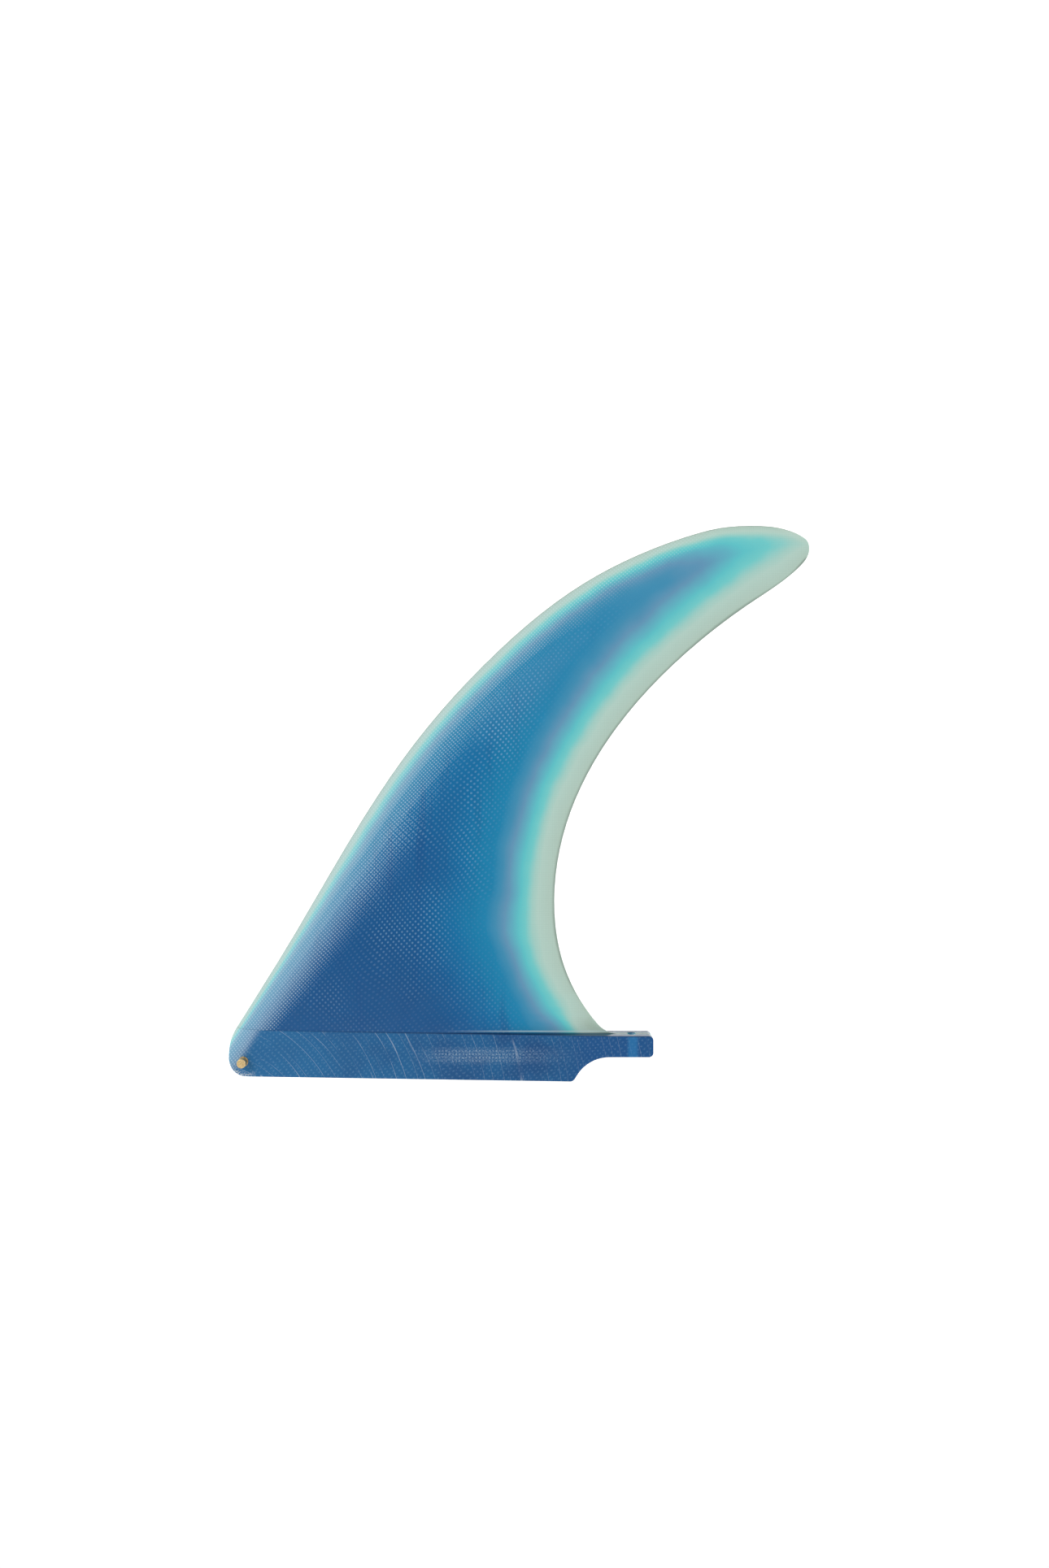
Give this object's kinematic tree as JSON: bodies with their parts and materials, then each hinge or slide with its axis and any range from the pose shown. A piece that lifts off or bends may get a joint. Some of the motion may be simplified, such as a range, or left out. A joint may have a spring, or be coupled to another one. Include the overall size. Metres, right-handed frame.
{
  "type": "surfboard fin",
  "caption": "Raked longboard centre fin, foiled from tinted glass laminate, with a slotted-box tongue, a screw tab and a brass cross pin.",
  "frame": {"origin": "middle of the roll pin, on the fin's middle plane", "axes": "+X from the leading edge towards the screw tab, +Y through the thickness (left is +Y), +Z from the base to the tip"},
  "size_m": [0.2605, 0.0158, 0.2489],
  "materials": {
    "core_laminate": "gloss over pale glass laminate, sanded matte on the tongue",
    "aqua_laminate": "gloss over aqua tinted glass laminate",
    "lavender_laminate": "gloss over grey blue tinted glass laminate",
    "cerulean_laminate": "gloss over cerulean tinted glass laminate",
    "royal_laminate": "gloss over royal blue tinted glass laminate, sanded matte on the tongue",
    "brass": "cut ends, dull"
  },
  "bodies": {
    "root": {"core_panel": "core_laminate", "aqua_pack_left": "aqua_laminate", "aqua_pack_right": "aqua_laminate", "lavender_pack_left": "lavender_laminate", "lavender_pack_right": "lavender_laminate", "cerulean_pack_left": "cerulean_laminate", "cerulean_pack_right": "cerulean_laminate", "royal_pack_left": "royal_laminate", "royal_pack_right": "royal_laminate", "roll_pin": "brass"}
  },
  "joints": []
}
